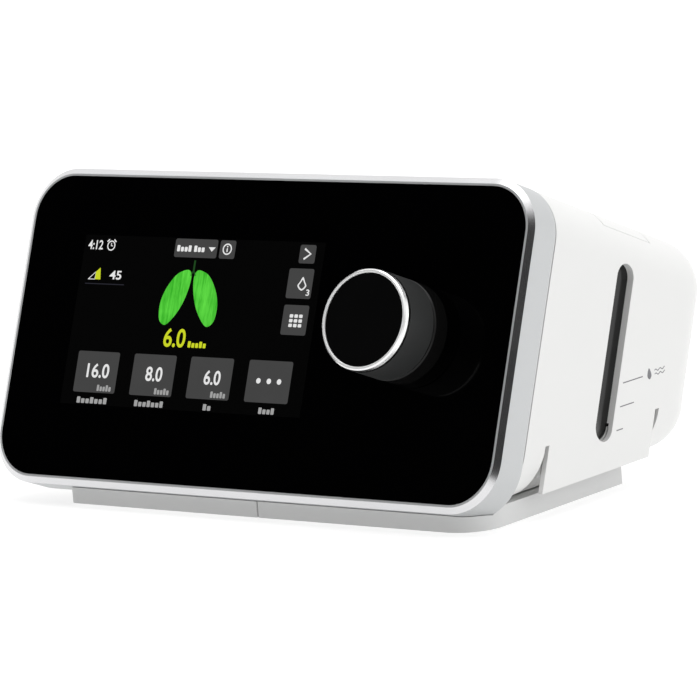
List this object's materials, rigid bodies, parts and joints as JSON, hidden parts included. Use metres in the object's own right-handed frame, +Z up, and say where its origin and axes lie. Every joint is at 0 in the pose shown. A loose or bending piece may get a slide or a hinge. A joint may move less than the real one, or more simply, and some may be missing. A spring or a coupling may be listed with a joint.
{
  "type": "mechanical ventilator",
  "caption": "Desktop bilevel ventilator with a tilted glass front, lit display, push-and-turn knob and a built-in humidifier whose water tank slides out of the right-hand end.",
  "frame": {"origin": "on the table, at the middle of the whole object's box", "axes": "+X to the right seen from the front, +Y to the back, +Z up"},
  "size_m": [0.2276, 0.1659, 0.1174],
  "materials": {
    "glass_black": "gloss",
    "silver_trim": "satin",
    "white_shell": "satin",
    "grey_base": "satin",
    "black_plastic": "gloss",
    "dark_plastic": "matte",
    "polished_ring": "polished",
    "steel": "satin",
    "spring_steel": "polished",
    "clear_plastic": "clear",
    "rubber": "matte",
    "silicone": "satin",
    "panel": "gloss",
    "circuit": "satin",
    "component": "matte",
    "amber_film": "gloss",
    "aluminium": "satin",
    "copper": "satin",
    "foam": "matte",
    "frosted_plastic": "satin"
  },
  "bodies": {
    "root": {"front_glass": "glass_black", "bezel": "silver_trim", "chassis": "dark_plastic", "display": "panel", "display_gasket": "rubber", "main_board": "circuit", "board_parts": "component", "board_screws": "steel", "chassis_screws": "steel", "ribbon_cable": "amber_film", "knob_collar": "black_plastic", "encoder_case": "dark_plastic", "encoder_nut": "steel", "knob_spring": "spring_steel", "housing": "white_shell", "bay_liner": "dark_plastic", "base_left": "grey_base", "base_right": "grey_base", "feet": "rubber", "base_screws": "steel", "dock_seals": "silicone", "heater_springs": "spring_steel", "blower_base": "dark_plastic", "blower_cover": "dark_plastic", "blower_mounts": "silicone", "motor_cup": "aluminium", "motor_stator": "copper", "bearing_lower": "steel", "bearing_upper": "steel", "inlet_duct": "dark_plastic", "filter_foam": "foam", "outlet_duct": "dark_plastic", "outlet_seal": "silicone", "outlet_port": "frosted_plastic", "power_socket": "dark_plastic", "start_spring": "spring_steel", "start_switch": "dark_plastic", "card_socket": "dark_plastic", "speaker": "dark_plastic"},
    "encoder_rotor": {"encoder_sleeve": "steel"},
    "knob": {"knob_body": "dark_plastic", "knob_ring": "polished_ring", "knob_cap": "black_plastic", "encoder_shaft": "steel"},
    "start": {"start_button": "white_shell"},
    "drawer": {"side_cap": "white_shell", "side_window": "clear_plastic", "tank_body": "clear_plastic", "tank_plate": "aluminium", "tank_lid": "frosted_plastic", "tank_seal": "silicone", "release_spring": "spring_steel"},
    "release": {"release_button": "white_shell"},
    "rotor": {"impeller": "frosted_plastic", "motor_shaft": "steel", "motor_magnet": "component"},
    "filter_door": {"filter_cover": "white_shell"},
    "card": {"memory_card": "dark_plastic"},
    "heater": {"heater_plate": "aluminium", "heater_pad": "silicone"}
  },
  "joints": [
    {"name": "knob_spin", "type": "hinge", "parent": "root", "child": "encoder_rotor", "pos_m": [0.06605, -0.05371, 0.066], "axis": [0, 0.9317, -0.3633], "continuous": true},
    {"name": "knob_push", "type": "slide", "parent": "encoder_rotor", "child": "knob", "axis": [0, 0.9317, -0.3633], "range_m": [0, 0.0007], "stiffness_N_per_m": 2500, "springref_m": -0.0008},
    {"name": "start_press", "type": "slide", "parent": "root", "child": "start", "axis": [0, -0.3633, -0.9317], "range_m": [0, 0.0008], "stiffness_N_per_m": 1500, "springref_m": -0.001},
    {"name": "drawer_slide", "type": "slide", "parent": "root", "child": "drawer", "axis": [1, 0, 0], "range_m": [0, 0.1]},
    {"name": "release_press", "type": "slide", "parent": "drawer", "child": "release", "axis": [0, -0.3633, -0.9317], "range_m": [0, 0.0015], "stiffness_N_per_m": 1500, "springref_m": -0.001},
    {"name": "rotor_spin", "type": "hinge", "parent": "root", "child": "rotor", "pos_m": [-0.058, 0.008, 0.04], "axis": [0, 0, 1], "continuous": true},
    {"name": "filter_pull", "type": "slide", "parent": "root", "child": "filter_door", "axis": [0, 0.9317, -0.3633], "range_m": [0, 0.012]},
    {"name": "card_slide", "type": "slide", "parent": "root", "child": "card", "axis": [-1, 0, 0], "range_m": [0, 0.015]},
    {"name": "heater_press", "type": "slide", "parent": "root", "child": "heater", "axis": [0, 0, -1], "range_m": [0, 0.0012], "stiffness_N_per_m": 6000, "springref_m": -0.001}
  ]
}
